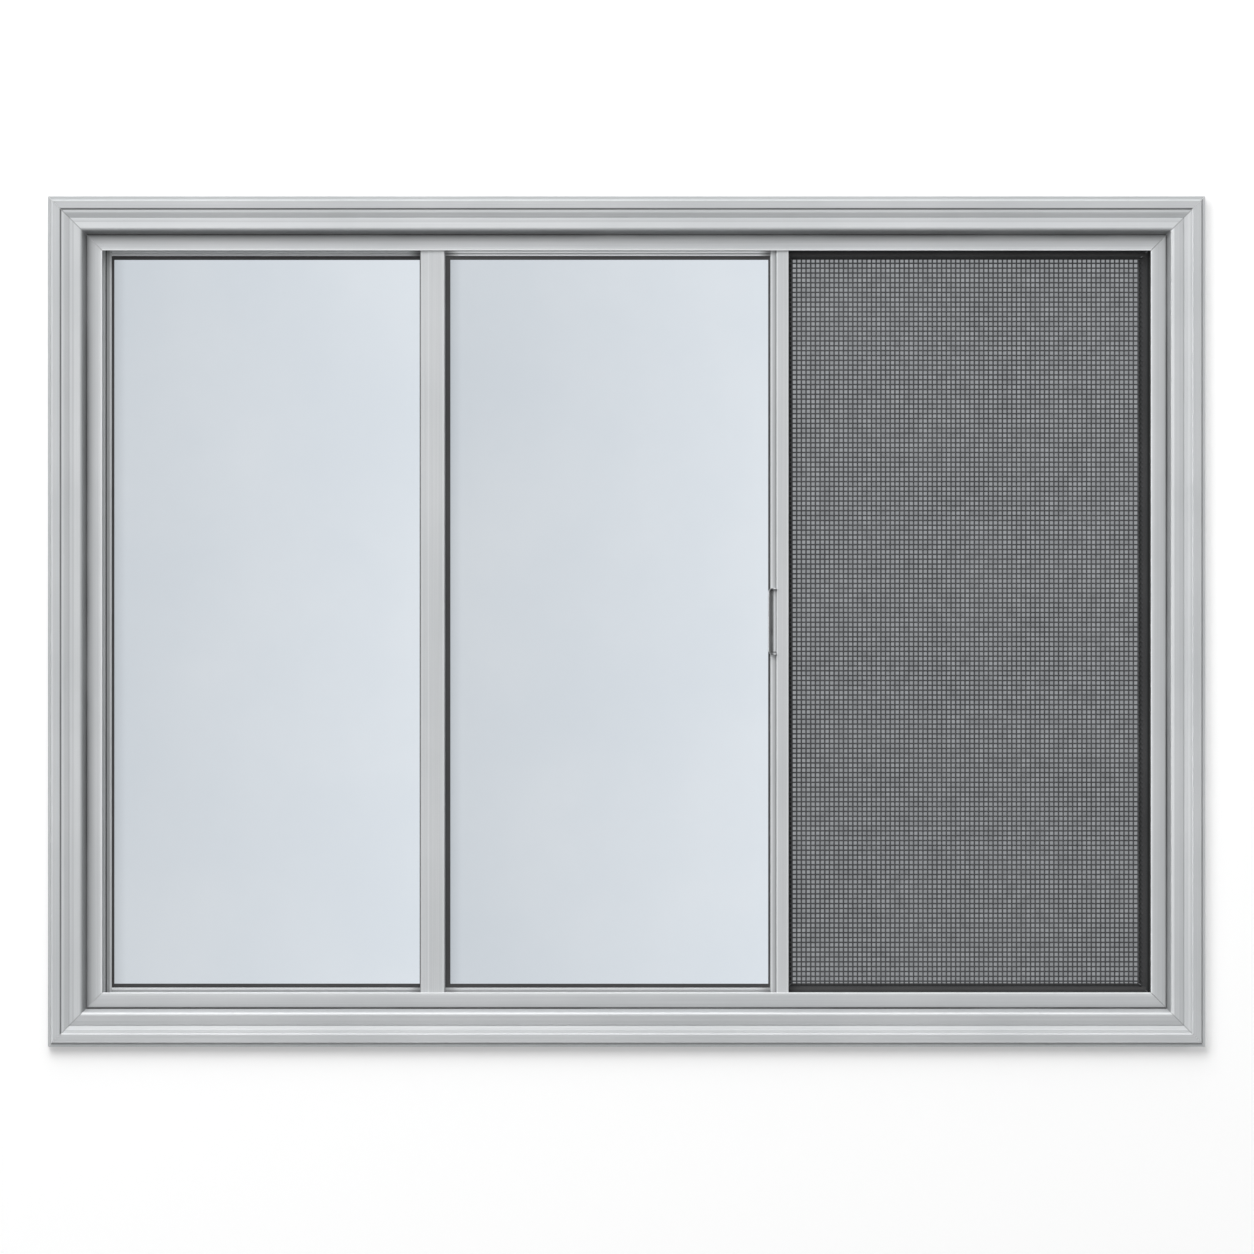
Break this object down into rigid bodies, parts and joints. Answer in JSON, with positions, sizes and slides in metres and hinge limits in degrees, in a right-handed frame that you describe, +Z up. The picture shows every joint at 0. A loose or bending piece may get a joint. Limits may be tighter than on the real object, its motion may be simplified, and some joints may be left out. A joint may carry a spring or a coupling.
{
  "type": "storm window",
  "caption": "Horizontal sliding aluminium storm window: moulded mitred frame, fixed glass lite, sliding glass sash with a finger pull, and an insect screen panel.",
  "frame": {"origin": "middle of the frame's bottom edge, on the back face of the flange", "axes": "+X to the right and +Z up as seen from the front, +Y backward into the wall, so the window faces -Y"},
  "size_m": [1.524, 0.048, 1.12],
  "materials": {
    "frame_aluminium": "satin",
    "sash_aluminium": "satin",
    "clear_glass": "polished",
    "gasket_rubber": "matte",
    "charcoal_frame": "satin",
    "charcoal_mesh": "matte",
    "grey_pile": "brushed pile"
  },
  "bodies": {
    "root": {"frame_head": "frame_aluminium", "frame_sill": "frame_aluminium", "frame_left_jamb": "frame_aluminium", "frame_right_jamb": "frame_aluminium", "left_lite_left_stile": "sash_aluminium", "left_lite_right_stile": "sash_aluminium", "left_lite_top_rail": "sash_aluminium", "left_lite_bottom_rail": "sash_aluminium", "left_lite_gasket": "gasket_rubber", "left_lite_glass": "clear_glass", "centre_sash_left_stile": "sash_aluminium", "centre_sash_right_stile": "sash_aluminium", "centre_sash_top_rail": "sash_aluminium", "centre_sash_bottom_rail": "sash_aluminium", "centre_sash_gasket": "gasket_rubber", "centre_sash_glass": "clear_glass", "centre_sash_pull": "sash_aluminium", "screen_left_stile": "charcoal_frame", "screen_right_stile": "charcoal_frame", "screen_top_rail": "charcoal_frame", "screen_bottom_rail": "charcoal_frame", "screen_spline": "gasket_rubber", "screen_mesh": "charcoal_mesh", "left_pile_strip": "grey_pile", "right_pile_strip": "grey_pile"}
  },
  "joints": []
}
